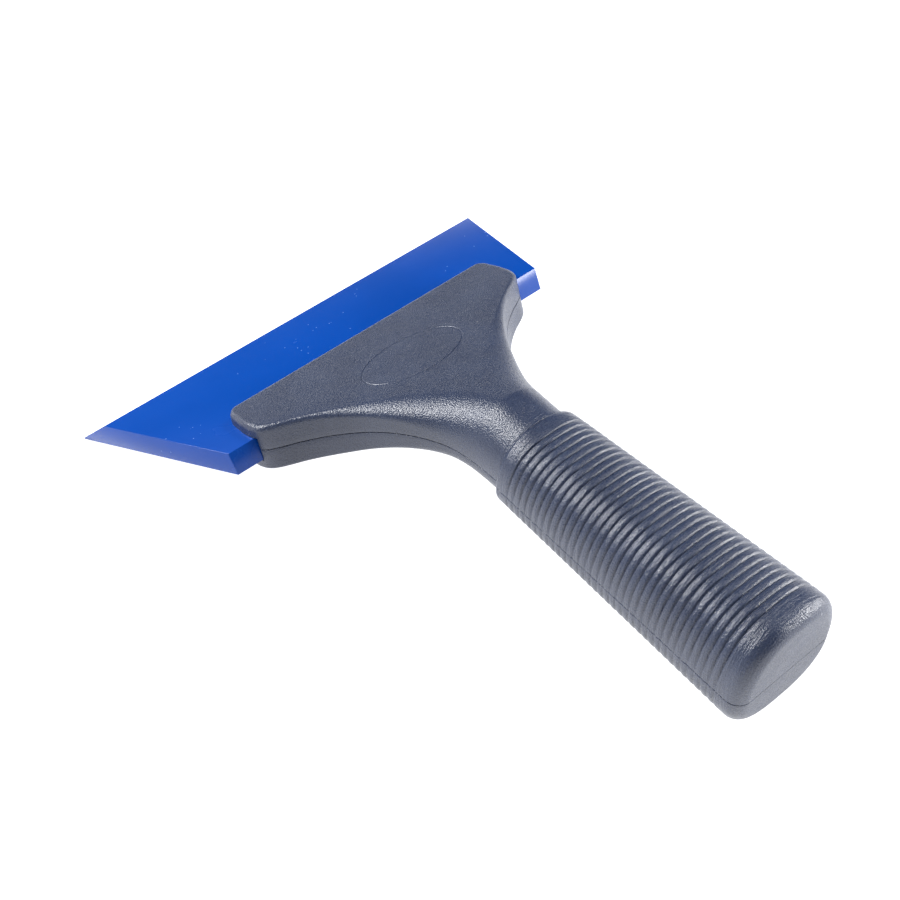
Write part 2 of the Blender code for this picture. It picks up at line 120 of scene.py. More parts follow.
def skinned(rings, closed=False):
    # one rim of points, extruded from ring to ring; the ends are filled, or joined if it is closed
    bm = bmesh.new()
    spot = bm.verts.layers.int.new("spot")
    rim = bmesh.ops.create_circle(bm, cap_ends=False, segments=len(rings[0]), radius=1)["verts"]
    for number, vert in enumerate(rim):
        vert[spot] = number
        vert.co = rings[0][number]
    first = list(bm.edges)
    edges = first
    for ring in rings[1:]:
        made = bmesh.ops.extrude_edge_only(bm, edges=edges)["geom"]
        fresh = {item for item in made if isinstance(item, bmesh.types.BMVert)}
        for vert in fresh:
            vert.co = ring[vert[spot]]
        edges = [e for e in made if isinstance(e, bmesh.types.BMEdge) and set(e.verts) <= fresh]
    if closed:
        bmesh.ops.bridge_loops(bm, edges=first + edges)
    else:
        bmesh.ops.edgeloop_fill(bm, edges=first)
        bmesh.ops.edgeloop_fill(bm, edges=edges)
    bmesh.ops.recalc_face_normals(bm, faces=bm.faces)
    return bm


def turned(outline, steps=64):
    # a round shape from its outline of (radius, height), spun about Z
    bm = bmesh.new()
    verts = [bmesh.ops.create_vert(bm, co=(radius * mm, 0, z * mm))["vert"][0] for radius, z in outline]
    for near, far in zip(verts, verts[1:]):
        bmesh.ops.contextual_create(bm, geom=[near, far])
    bmesh.ops.spin(bm, geom=bm.verts[:] + bm.edges[:], cent=(0, 0, 0), axis=(0, 0, 1),
                   angle=2 * math.pi, steps=steps, use_merge=True)
    bmesh.ops.remove_doubles(bm, verts=bm.verts, dist=mergeDistance)
    bmesh.ops.recalc_face_normals(bm, faces=bm.faces)
    return bm


def meshOf(name, bm):
    made = bpy.data.meshes.new(name)
    bm.to_mesh(made)
    bm.free()
    return made


def carved(name, bm, cutters):
    # the shape less its cutters, which are removed again
    shape = bpy.data.objects.new(name, meshOf(name, bm))
    bpy.context.scene.collection.objects.link(shape)
    helpers = bpy.data.collections.new(name + "Helpers")
    bpy.context.scene.collection.children.link(helpers)
    for number, cutter in enumerate(cutters):
        helper = bpy.data.objects.new(f"{name}Helper{number}", meshOf(f"{name}Helper{number}", cutter))
        helpers.objects.link(helper)
    cut = shape.modifiers.new("cut", "BOOLEAN")
    cut.operand_type = "COLLECTION"
    cut.collection = helpers
    cut.operation = "DIFFERENCE"
    cut.solver = "EXACT"
    graph = bpy.context.evaluated_depsgraph_get()
    bm = bmesh.new()
    bm.from_object(shape, graph)
    for helper in list(helpers.objects):
        bpy.data.objects.remove(helper)
    bpy.data.collections.remove(helpers)
    bpy.data.objects.remove(shape)
    bmesh.ops.remove_doubles(bm, verts=bm.verts, dist=mergeDistance)
    return bm


def asPiece(name, bm, place, body, stands, material, sharp=35):
    # a finished piece in the row frame, riding its body in place of its CAD node
    bmesh.ops.transform(bm, matrix=place, verts=bm.verts)
    bmesh.ops.triangulate(bm, faces=[face for face in bm.faces if len(face.verts) > 4])
    mesh = meshOf(name, bm)
    for face in mesh.polygons:
        face.use_smooth = True
    mesh.set_sharp_from_angle(angle=math.radians(sharp))
    mesh.materials.append(material)
    piece = bpy.data.objects.new(name, mesh)
    bpy.context.scene.collection.objects.link(piece)
    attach(piece, body)
    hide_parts(stands)


def cylinder(radius, low, high, place, sides=48):
    bm = bmesh.new()
    up = Matrix.Translation((0, 0, (low + high) / 2 * mm))
    bmesh.ops.create_cone(bm, cap_ends=True, segments=sides, radius1=radius * mm, radius2=radius * mm,
                          depth=(high - low) * mm, matrix=place @ up)
    return bm


def newGroup(name, inputs, outputs):
    group = bpy.data.node_groups.new(name, "ShaderNodeTree")
    for label, kind, value in inputs:
        socket = group.interface.new_socket(name=label, in_out="INPUT", socket_type=kind)
        if value is not None:
            socket.default_value = value
    for label, kind in outputs:
        group.interface.new_socket(name=label, in_out="OUTPUT", socket_type=kind)
    return group, group.nodes.new("NodeGroupInput"), group.nodes.new("NodeGroupOutput")


def node(tree, kind, links=(), **settings):
    # a node, its plain settings, and (input, value or output) pairs
    made = tree.nodes.new(kind)
    for key, value in settings.items():
        setattr(made, key, value)
    for key, value in links:
        if isinstance(value, bpy.types.NodeSocket):
            tree.links.new(value, made.inputs[key])
        else:
            made.inputs[key].default_value = value
    return made


def ramp(tree, source, stops):
    made = tree.nodes.new("ShaderNodeValToRGB")
    tree.links.new(source, made.inputs[0])
    while len(made.color_ramp.elements) < len(stops):
        made.color_ramp.elements.new(0.5)
    for element, (place, value) in zip(made.color_ramp.elements, stops):
        element.position = place
        element.color = (value, value, value, 1.0) if isinstance(value, float) else (*value, 1.0)
    return made.outputs["Color"]


def mathNode(tree, operation, first, second=0.0):
    return node(tree, "ShaderNodeMath", ((0, first), (1, second)), operation=operation).outputs[0]


def mixColour(tree, factor, first, second, blend="MIX"):
    made = node(tree, "ShaderNodeMix", data_type="RGBA", blend_type=blend)
    for key, value in ((0, factor), (6, first), (7, second)):
        if isinstance(value, bpy.types.NodeSocket):
            tree.links.new(value, made.inputs[key])
        else:
            made.inputs[key].default_value = value
    return made.outputs[2]


def grainGroup():
    # moulded spark grain: fine pits with a coarser unevenness, as a height and a patchy mask
    group, inlet, outlet = newGroup(
        "mouldedGrain",
        [("Vector", "NodeSocketVector", None), ("Fine", "NodeSocketFloat", 2600.0),
         ("Coarse", "NodeSocketFloat", 90.0)],
        [("Height", "NodeSocketFloat"), ("Patches", "NodeSocketFloat")],
    )
    place = inlet.outputs["Vector"]
    fine = node(group, "ShaderNodeTexNoise", (("Vector", place), ("Scale", inlet.outputs["Fine"]),
                                              ("Detail", 2.0), ("Roughness", 0.6)))
    cells = node(group, "ShaderNodeTexVoronoi", (("Vector", place), ("Scale", inlet.outputs["Fine"])))
    coarse = node(group, "ShaderNodeTexNoise", (("Vector", place), ("Scale", inlet.outputs["Coarse"]),
                                                ("Detail", 4.0), ("Roughness", 0.55)))
    pits = mathNode(group, "MULTIPLY", cells.outputs["Distance"], 0.6)
    both = mathNode(group, "ADD", fine.outputs["Fac"], pits)
    group.links.new(both, outlet.inputs["Height"])
    group.links.new(coarse.outputs["Fac"], outlet.inputs["Patches"])
    return group


def marksGroup():
    # handling marks: sparse specks of dust, and fine scratches that run one way
    group, inlet, outlet = newGroup(
        "handlingMarks",
        [("Vector", "NodeSocketVector", None), ("Speck scale", "NodeSocketFloat", 260.0),
         ("Speck size", "NodeSocketFloat", 0.1), ("Scratch scale", "NodeSocketFloat", 60.0)],
        [("Specks", "NodeSocketFloat"), ("Scratches", "NodeSocketFloat")],
    )
    place = inlet.outputs["Vector"]
    cells = node(group, "ShaderNodeTexVoronoi", (("Vector", place), ("Scale", inlet.outputs["Speck scale"])))
    near = mathNode(group, "LESS_THAN", cells.outputs["Distance"], inlet.outputs["Speck size"])
    thin = node(group, "ShaderNodeTexNoise", (("Vector", place), ("Scale", 45.0), ("Detail", 1.0)))
    some = mathNode(group, "GREATER_THAN", thin.outputs["Fac"], 0.56)
    group.links.new(mathNode(group, "MULTIPLY", near, some), outlet.inputs["Specks"])
    runsOneWay = node(group, "ShaderNodeMapping", (("Vector", place), ("Rotation", (0.0, 0.0, 0.6)),
                                                 ("Scale", (1.0, 26.0, 26.0))))
    lines = node(group, "ShaderNodeTexNoise", (("Vector", runsOneWay.outputs[0]),
                                               ("Scale", inlet.outputs["Scratch scale"]), ("Detail", 1.0)))
    group.links.new(ramp(group, lines.outputs["Fac"], ((0.66, 0.0), (0.70, 1.0))), outlet.inputs["Scratches"])
    return group


grain = grainGroup()
marks = marksGroup()


def newMaterial(name, metallic=0.0, **constants):
    made = bpy.data.materials.new(name)
    made.use_nodes = True
    shader = made.node_tree.nodes["Principled BSDF"]
    shader.inputs["Metallic"].default_value = metallic
    for label, value in constants.items():
        shader.inputs[label.replace("_", " ")].default_value = value
    place = node(made.node_tree, "ShaderNodeTexCoord").outputs["Object"]
    return made, made.node_tree, shader, place


def placed(tree, group, place, **values):
    made = tree.nodes.new("ShaderNodeGroup")
    made.node_tree = group
    tree.links.new(place, made.inputs["Vector"])
    for label, value in values.items():
        made.inputs[label.replace("_", " ")].default_value = value
    return made


plasticLook = {
    "dark": (0.020, 0.028, 0.056), "light": (0.026, 0.036, 0.069), "dust": (0.30, 0.31, 0.34),
    # the pit and tip factors are painted shade in the grain's pits and a painted highlight on its tips
    "pitsAt": (0.35, 0.95), "pitPaintedShade": 0.88, "tipPaintedHighlight": 1.12, "smooth": 0.20, "rough": 0.33,
    "patches": ((0.35, 0.0), (0.65, 1.0)), "fleckStrength": 0.55,
    "grainDepth": 0.3, "waveDepth": 0.04, "streakDepth": 0.55, "streakScale": 1700.0,
    "streakStretch": (0.09, 1.0, 0.09), "streakFade": 0.002,
}


def handlePlastic():
    made, tree, shader, place = newMaterial("slateGreyPlastic", Specular_IOR_Level=0.65)
    spark = placed(tree, grain, place, Fine=2500.0, Coarse=70.0)
    worn = placed(tree, marks, place, Speck_scale=150.0, Speck_size=0.055)
    patches = ramp(tree, spark.outputs["Patches"], plasticLook["patches"])
    even = mixColour(tree, patches, (*plasticLook["dark"], 1.0), (*plasticLook["light"], 1.0))
    # the grain's height also tints the colour: painted shade darkens the pits and a painted highlight
    # lightens the tips
    pit, tip = plasticLook["pitsAt"]
    paintedShadeStops = ((pit, plasticLook["pitPaintedShade"]), (tip, plasticLook["tipPaintedHighlight"]))
    paintedShadeAndHighlight = ramp(tree, spark.outputs["Height"], paintedShadeStops)
    body = mixColour(tree, 1.0, even, paintedShadeAndHighlight, "MULTIPLY")
    flecks = mathNode(tree, "MULTIPLY", worn.outputs["Specks"], plasticLook["fleckStrength"])
    tree.links.new(mixColour(tree, flecks, body, (*plasticLook["dust"], 1.0)), shader.inputs["Base Color"])
    glosses = ((pit, plasticLook["smooth"]), (tip, plasticLook["rough"]))
    gloss = ramp(tree, spark.outputs["Height"], glosses)
    tree.links.new(gloss, shader.inputs["Roughness"])
    wave = node(tree, "ShaderNodeBump", (("Height", spark.outputs["Patches"]), ("Distance", 0.001),
                                         ("Strength", plasticLook["waveDepth"])))
    pits = node(tree, "ShaderNodeBump", (
        ("Height", spark.outputs["Height"]), ("Distance", 0.0005), ("Strength", plasticLook["grainDepth"]),
        ("Normal", wave.outputs[0]),
    ))
    # fine tool marks round the grip only
    along = node(tree, "ShaderNodeSeparateXYZ", (("Vector", place),)).outputs["Y"]
    onGrip = node(tree, "ShaderNodeMapRange", (
        ("Value", along), ("From Min", gripBegins - plasticLook["streakFade"]), ("From Max", gripBegins),
    )).outputs[0]
    narrow = node(tree, "ShaderNodeMapping", (("Vector", place), ("Scale", plasticLook["streakStretch"])))
    lines = node(tree, "ShaderNodeTexNoise", (("Vector", narrow.outputs[0]), ("Detail", 2.0),
                                              ("Scale", plasticLook["streakScale"])))
    streaks = mathNode(tree, "MULTIPLY", lines.outputs["Fac"], onGrip)
    marked = node(tree, "ShaderNodeBump", (
        ("Height", streaks), ("Distance", 0.0004), ("Strength", plasticLook["streakDepth"]),
        ("Normal", pits.outputs[0]),
    ))
    tree.links.new(marked.outputs[0], shader.inputs["Normal"])
    return made


bladeLook = {
    "deep": (0.0004, 0.044, 0.265), "bright": (0.0004, 0.049, 0.295), "dust": (0.20, 0.36, 0.75),
    "clouds": ((0.35, 0.0), (0.65, 1.0)), "gloss": ((0.3, 0.22), (0.7, 0.28)),
    "fleckStrength": 0.7, "grainDepth": 0.05,
}


def bladePolyurethane():
    made, tree, shader, place = newMaterial("bluePolyurethane", Specular_IOR_Level=0.3)
    spark = placed(tree, grain, place, Fine=900.0, Coarse=24.0)
    worn = placed(tree, marks, place, Speck_scale=420.0, Speck_size=0.075)
    cloud = ramp(tree, spark.outputs["Patches"], bladeLook["clouds"])
    body = mixColour(tree, cloud, (*bladeLook["deep"], 1.0), (*bladeLook["bright"], 1.0))
    flecks = mathNode(tree, "MULTIPLY", worn.outputs["Specks"], bladeLook["fleckStrength"])
    tree.links.new(mixColour(tree, flecks, body, (*bladeLook["dust"], 1.0)), shader.inputs["Base Color"])
    gloss = ramp(tree, spark.outputs["Patches"], bladeLook["gloss"])
    tree.links.new(gloss, shader.inputs["Roughness"])
    bump = node(tree, "ShaderNodeBump", (("Height", spark.outputs["Height"]), ("Distance", 0.0002),
                                         ("Strength", bladeLook["grainDepth"])))
    tree.links.new(bump.outputs[0], shader.inputs["Normal"])
    return made


metalLook = {
    "stain": 0.6, "patchShade": 0.85, "stainStrength": 0.4, "patchesAt": (0.3, 0.7), "scratchDepth": 0.5,
}


def platedMetal(name, colour, smooth, rough):
    made, tree, shader, place = newMaterial(name, metallic=1.0)
    spark = placed(tree, grain, place, Fine=3200.0, Coarse=300.0)
    worn = placed(tree, marks, place, Speck_scale=600.0, Speck_size=0.12, Scratch_scale=400.0)
    dull = tuple(share * metalLook["stain"] for share in colour)
    darker = tuple(share * metalLook["patchShade"] for share in colour)
    low, high = metalLook["patchesAt"]
    patches = ramp(tree, spark.outputs["Patches"], ((low, 0.0), (high, 1.0)))
    stain = mathNode(tree, "MULTIPLY", worn.outputs["Specks"], metalLook["stainStrength"])
    body = mixColour(tree, patches, (*colour, 1.0), (*darker, 1.0))
    tree.links.new(mixColour(tree, stain, body, (*dull, 1.0)), shader.inputs["Base Color"])
    gloss = ramp(tree, spark.outputs["Patches"], ((low, smooth), (high, rough)))
    tree.links.new(gloss, shader.inputs["Roughness"])
    bump = node(tree, "ShaderNodeBump", (("Height", worn.outputs["Scratches"]), ("Distance", 0.00005),
                                         ("Strength", metalLook["scratchDepth"])))
    tree.links.new(bump.outputs[0], shader.inputs["Normal"])
    return made


# where the grip starts along the row frame's Y, in metres
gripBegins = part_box("front_grip_screw")[0][1] - 0.017
plastic = handlePlastic()
polyurethane = bladePolyurethane()
zinc = platedMetal("zincPlatedSteel", (0.60, 0.60, 0.62), 0.25, 0.42)
brass = platedMetal("turnedBrass", (0.62, 0.47, 0.20), 0.25, 0.4)
print("materials ready")

blade = {
    "frontWidth": 150.0, "backWidth": 117.0, "depth": 59.0, "thick": 6.9,
    "bevel": 11.4, "tip": 0.4, "backSlope": 1.2, "edgeRound": 0.12,
}


def buildBlade():
    bm = bmesh.new()
    outline = ((0.0, 0.0), (0.0, blade["tip"]), (blade["bevel"], blade["thick"]),
               (blade["depth"], blade["thick"]), (blade["depth"] + blade["backSlope"], 0.0))
    verts = [bmesh.ops.create_vert(bm, co=(0, y * mm, z * mm))["vert"][0] for y, z in outline]
    profile = bmesh.ops.contextual_create(bm, geom=verts)["faces"]
    made = bmesh.ops.extrude_face_region(bm, geom=profile, use_keep_orig=True)["geom"]
    moved = [item for item in made if isinstance(item, bmesh.types.BMVert)]
    for side, group in ((1, verts), (-1, moved)):
        for vert in group:
            half = mix(blade["frontWidth"], blade["backWidth"], vert.co.y / mm / blade["depth"]) / 2
            vert.co.x = side * half * mm
    bmesh.ops.recalc_face_normals(bm, faces=bm.faces)
    bmesh.ops.bevel(bm, geom=bm.edges[:], offset=blade["edgeRound"] * mm, offset_type="OFFSET", segments=2,
                    profile=0.5, affect="EDGES", material=-1, clamp_overlap=True)
    asPiece("bladePlate", bm, tool, "blade", "squeegee_blade", polyurethane, 50)


handle = {
    "jawFront": 45.0, "headTop": 11.0, "headBottom": -3.2, "headHalf": 50.0, "cornerRound": 4.0,
    "cornerStart": 58.0, "bendAngle": math.radians(20.6), "bendRadius": 77.0, "bendBehindCorner": 17.8,
    "neckHalf": 13.3, "neckLength": 27.0, "band": 5.3, "gripHalf": (15.2, 18.0), "gripAbove": (15.5, 20.2),
    "gripBelow": (10.4, 14.6), "gripPower": 2.3, "grooves": 34, "pitch": 2.32, "grooveWidth": 0.95,
    "grooveDepth": 0.42, "ribCrown": 0.09, "seamFade": 0.2, "cap": 8.0, "capRound": 4.5, "edgeRound": 1.8,
    "baseRound": 0.9, "gap": 0.22, "slotGap": 0.25, "rimRound": 0.1, "frontRound": 1.3, "frontTaper": 0.6,
    "topSoftens": (11, 21), "baseSoftens": (13, 23), "softWidth": 0.93, "softHeight": 0.9,
    "neckStep": (0.4, 0.8), "neckBefore": 16, "flankBlend": 4, "grooveRun": 2.2,
}
partZ = blade["thick"] / 2
bendStart = handle["cornerStart"] + handle["bendBehindCorner"]
arcLength = handle["bendRadius"] * handle["bendAngle"]
gripStart = bendStart + arcLength + handle["neckLength"] - handle["band"]
groovedLength = handle["pitch"] * (handle["grooves"] - 1)
neckEnd = gripStart - handle["band"]

# the flank's plan: distance behind the corner, and the share left of the head's extra width
flankShape = (
    (0.0, 1.0), (2.4, 0.985), (4.4, 0.95), (6.4, 0.88), (9.4, 0.745), (13.4, 0.60), (17.8, 0.475),
    (22.5, 0.362), (27.5, 0.262), (32.5, 0.18), (37.5, 0.11), (43.5, 0.045), (50.0, 0.01), (56.0, 0.0),
)
# a groove's profile across it: a sloping front wall, a narrow floor and a steep back wall
grooveShape = (
    (-0.5, 0.0), (-0.4, 0.08), (-0.1, 0.8), (0.02, 1.0), (0.22, 1.0), (0.34, 0.75), (0.44, 0.12), (0.5, 0.0),
)
# the crease before the grip's plain band: distance behind the neck, and how deep it still is
bandShape = ((0.12, 0.85), (0.25, 0.62), (0.5, 0.36), (0.85, 0.16), (1.3, 0.04), (1.9, 0.0))
bandSink = 0.35
# where a rib has its sections, as shares of its width
ribShares = (0.17, 0.34, 0.5, 0.66, 0.83)


def spine(along):
    # (y, z, downward angle) of the parting line at this distance along it
    bend, radius = handle["bendAngle"], handle["bendRadius"]
    if along <= bendStart:
        return along, partZ, 0.0
    angle = min((along - bendStart) / radius, bend)
    rest = max(along - bendStart - arcLength, 0.0)
    y = bendStart + radius * math.sin(angle) + rest * math.cos(bend)
    z = partZ - radius * (1 - math.cos(angle)) - rest * math.sin(bend)
    return y, z, angle


def onSpine(along, x, up):
    y, z, angle = spine(along)
    return Vector((x, y + up * math.sin(angle), z + up * math.cos(angle))) * mm


def frameAt(along):
    return Matrix.Translation(onSpine(along, 0, 0)) @ Matrix.Rotation(-spine(along)[2], 4, "X")


def planHalf(along):
    # half width in plan from the jaws' front corners to the neck
    front = handle["headHalf"] - handle["frontTaper"]
    out = along - handle["jawFront"]
    if out < handle["cornerRound"]:
        share = 1 - out / handle["cornerRound"]
        return front - handle["cornerRound"] * (1 - math.sqrt(max(1 - share * share, 0.0)))
    if along < handle["cornerStart"]:
        full = (handle["cornerStart"] - handle["flankBlend"] - handle["jawFront"] - handle["cornerRound"])
        share = (out - handle["cornerRound"]) / full
        return mix(front, handle["headHalf"], ease(share) * 0.5 + 0.5 * min(share, 1.0))
    span = handle["headHalf"] - handle["neckHalf"]
    flankEnd = bendStart + arcLength + handle["neckLength"] - handle["neckBefore"]
    stretch = (flankEnd - handle["cornerStart"]) / flankShape[-1][0]
    return handle["neckHalf"] + span * smoothCurve(flankShape, (along - handle["cornerStart"]) / stretch)


def softened(along, edge, softens, width, height):
    # a fillet's (width, height), from a small edge round at the head to a full soft section at the neck
    start, end = softens
    soft = ease((along - handle["cornerStart"] - start) / (neckEnd - handle["cornerStart"] - end))
    return mix(edge, handle["softWidth"] * width, soft), mix(edge, handle["softHeight"] * height, soft)


def headSizes(along):
    # (half width, above, below, top fillet, base fillet) of head and neck
    width = planHalf(along)
    angle = spine(along)[2]
    flat = (handle["headTop"] - spine(along)[1]) / math.cos(angle)
    rise = bendStart + 0.4 * arcLength
    stepAbove, stepBelow = handle["neckStep"]
    above = min(flat, mix(flat, handle["gripAbove"][0] - stepAbove, ease((along - rise) / (neckEnd - rise))))
    drop = ease((along - bendStart + 4) / (neckEnd - bendStart + 4))
    below = mix(partZ - handle["headBottom"], handle["gripBelow"][0] - stepBelow, drop)
    top = softened(along, handle["edgeRound"], handle["topSoftens"], width, above)
    base = softened(along, handle["baseRound"], handle["baseSoftens"], width, below)
    return width, above, below, top, base


def gripSizes(out, inset=0.0, sink=1.0):
    # the same for the grip, this far past its first groove; the height gives way by sink times the inset
    share = out / groovedLength
    width = mix(*handle["gripHalf"], share) - inset
    above = mix(*handle["gripAbove"], share) - inset * sink
    below = mix(*handle["gripBelow"], share) - inset * sink
    soft = handle["softWidth"]
    return width, above, below, (soft * width, soft * above), (soft * width, soft * below)


def halfOutline(width, height, fillet, power, start):
    # one half section, rim to rim over the outside: a small rim rounding, wall, fillet and flat
    across, rise = fillet
    rim = handle["rimRound"]
    low = start + rim
    side = [(width - rim, start), (width - 0.3 * rim, start + 0.3 * rim), (width, low)]
    side += [(width, mix(low, max(height - rise, low), share / 3)) for share in (1, 2, 3)]
    steps = 16
    for step in range(1, steps + 1):
        angle = math.pi / 2 * step / steps
        x = width - across + across * math.cos(angle) ** (2 / power)
        z = max(height - rise, low) + min(rise, height - low) * math.sin(angle) ** (2 / power)
        side.append((x, z))
    side += [((width - across) * (1 - share / 4), height) for share in (1, 2, 3)]
    return side + [(0.0, height)] + [(-x, z) for x, z in reversed(side)]


def shellRings(side):
    # sections of one shell, side 1 above the parting line and -1 below it
    seam = handle["gap"] / 2
    slotRim = partZ + handle["slotGap"]
    slotEnd = blade["depth"] + blade["backSlope"] + handle["slotGap"]
    rings = []

    def outline(sizes, power, start, lower=0.0):
        width, above, below, top, base = sizes
        height, fillet = (above, top) if side > 0 else (below, base)
        return halfOutline(width, height - lower, fillet, power, start)

    def ring(along, sizes, power, start, lower=0.0):
        rings.append([onSpine(along, x, side * up) for x, up in outline(sizes, power, start, lower)])

    def gripRing(out, inset):
        # a groove or a rib is shallow at the seam and full a third of the way up
        plain = outline(gripSizes(out), handle["gripPower"], seam)
        deep = outline(gripSizes(out, inset), handle["gripPower"], seam)
        top = max(up for x, up in plain)
        points = []
        for (x0, up0), (x1, up1) in zip(plain, deep):
            share = mix(handle["seamFade"], 1.0, ease(up0 / top * 2.5))
            points.append(onSpine(gripStart + out, mix(x0, x1, share), side * mix(up0, up1, share)))
        rings.append(points)

    front = handle["jawFront"]
    for step in range(7):  # the front edge's rounding
        angle = math.radians(15 * step)
        out = handle["frontRound"] * (1 - math.cos(angle))
        lower = handle["frontRound"] * (1 - math.sin(angle))
        ring(front + out, headSizes(front + out), 2.0, slotRim, lower)
    for step in range(1, 9):
        along = mix(front + handle["frontRound"], front + handle["cornerRound"], step / 8)
        ring(along, headSizes(along), 2.0, slotRim)
    along = front + handle["cornerRound"] + 1.0
    while along < slotEnd - 0.3:
        ring(along, headSizes(along), 2.0, slotRim)
        along += 0.9
    ring(slotEnd, headSizes(slotEnd), 2.0, slotRim)
    ring(slotEnd + 0.001, headSizes(slotEnd), 2.0, seam)
    along = slotEnd + 0.6
    while along < neckEnd - 0.5:
        ring(along, headSizes(along), 2.0, seam)
        along += 0.8
    ring(neckEnd, headSizes(neckEnd), 2.0, seam)
    for out, inset in bandShape:
        ring(neckEnd + out, gripSizes(out - handle["band"], inset, bandSink), handle["gripPower"], seam)
    ring(gripStart - 2.4, gripSizes(-2.4), handle["gripPower"], seam)
    for number in range(handle["grooves"]):
        middle = number * handle["pitch"]
        for across, deep in grooveShape:
            out = middle + across * handle["grooveWidth"]
            gripRing(out, deep * handle["grooveDepth"])
        rib = handle["pitch"] - handle["grooveWidth"]
        for share in ribShares:
            out = middle + handle["grooveWidth"] / 2 + rib * share
            gripRing(out, -handle["ribCrown"] * 4 * share * (1 - share))
    end = groovedLength + handle["cap"]
    out = groovedLength + handle["grooveRun"]
    while out < end - handle["capRound"]:
        ring(gripStart + out, gripSizes(out), handle["gripPower"], seam)
        out += 0.8
    steps = 14
    for step in range(steps + 1):  # the end's rounding
        angle = math.pi / 2 * step / steps
        out = end - handle["capRound"] * (1 - math.sin(angle))
        inset = handle["capRound"] * (1 - math.cos(angle))
        ring(gripStart + out, gripSizes(out, inset), handle["gripPower"], seam)
    return rings


screws = {
    "clampX": 28.0, "clampY": 68.0, "shank": 2.0, "head": 3.5, "headHigh": 1.9, "washer": 0.8,
    "nutFlats": 7.0, "nutHigh": 3.2, "shellShank": 1.5, "shellHead": 2.8, "shellHeadHigh": 1.8,
    "shellSeat": 3.2, "shellReach": 8.5, "clear": 0.2, "skin": 2.2, "nutAbovePart": 0.4, "pitch": 0.7,
    "shellPitch": 1.1, "threadStart": 0.35, "threadDeep": 0.2, "reachSpare": 0.6, "tipSpare": 0.5,
}
shellScrews = {
    "neck_screw": bendStart + arcLength + 1.0,
    "front_grip_screw": gripStart + 0.2 * groovedLength,
    "rear_grip_screw": gripStart + 0.82 * groovedLength,
}


def clampPlace(side):
    return Matrix.Translation((side * screws["clampX"] * mm, screws["clampY"] * mm, 0))


def clampCutters(side):
    made = []
    for where in (-1, 1):
        place = clampPlace(where)
        if side > 0:
            corner = (screws["nutFlats"] / 2 + screws["clear"]) / math.cos(math.pi / 6)
            top = partZ + screws["nutAbovePart"] + screws["nutHigh"] + screws["clear"]
            made.append(cylinder(corner, partZ - 1, top, place, 6))
            low, high = partZ - 1.5, handle["headTop"] - screws["skin"]
        else:
            recess = screws["head"] + 2 * screws["clear"]
            made.append(cylinder(recess, handle["headBottom"] - 1, 0.0, place))
            low, high = handle["headBottom"] - 1.5, partZ + 1
        made.append(cylinder(screws["shank"] + screws["clear"], low, high, place))
    return made


def shellCutters(side):
    made = []
    for along in shellScrews.values():
        place = frameAt(along)
        if side > 0:
            reach = screws["shellReach"] + screws["reachSpare"]
            made.append(cylinder(screws["shellShank"] + screws["clear"] / 2, -1.0, reach, place))
            continue
        made.append(cylinder(screws["shellShank"] + screws["clear"], -screws["shellSeat"] - 1, 1.0, place))
        made.append(cylinder(screws["shellHead"] + 1.5 * screws["clear"], -20, -screws["shellSeat"], place))
    return made


oval = {"behindEdge": 71.0, "half": (17.0, 10.2), "wide": 0.7, "deep": 0.13, "steps": 160, "sides": 14}


def ringCutter():
    # a thin round rod bent to an oval, sunk in the head's top
    rings = []
    across, along = oval["half"]
    height = handle["headTop"] + (oval["wide"] / 2 - oval["deep"])
    for step in range(oval["steps"]):
        angle = 2 * math.pi * step / oval["steps"]
        centre = Vector((across * math.cos(angle), oval["behindEdge"] + along * math.sin(angle), height))
        out = Vector((math.cos(angle) / across, math.sin(angle) / along, 0)).normalized()
        rod = []
        for spot in range(oval["sides"]):
            turn = 2 * math.pi * spot / oval["sides"] + 0.2
            aside = out * math.cos(turn) + Vector((0, 0, math.sin(turn)))
            rod.append((centre + aside * oval["wide"] / 2) * mm)
        rings.append(rod)
    return skinned(rings, closed=True)


def buildShell(name, side, stands):
    cutters = clampCutters(side) + shellCutters(side)
    if side > 0:
        cutters.append(ringCutter())
    bm = carved(name, skinned(shellRings(side)), cutters)
    asPiece(name, bm, tool, "handle", stands, plastic, 32)


def crossCutter(head, top):
    # the cross recess: two tapered bars, deepest at the middle
    made = []
    for turn in (0, 90):
        bm = bmesh.new()
        bmesh.ops.create_cube(bm, size=1.0)
        for vert in bm.verts:
            vert.co.x *= (1.15 if vert.co.z < 0 else 0.35) * head * mm
            vert.co.y *= 0.2 * head * mm
            vert.co.z = (top - 0.4 if vert.co.z < 0 else top + 1.3) * mm
        spun = Matrix.Rotation(math.radians(turn), 3, "Z")
        bmesh.ops.rotate(bm, verts=bm.verts, cent=(0, 0, 0), matrix=spun)
        made.append(bm)
    return made


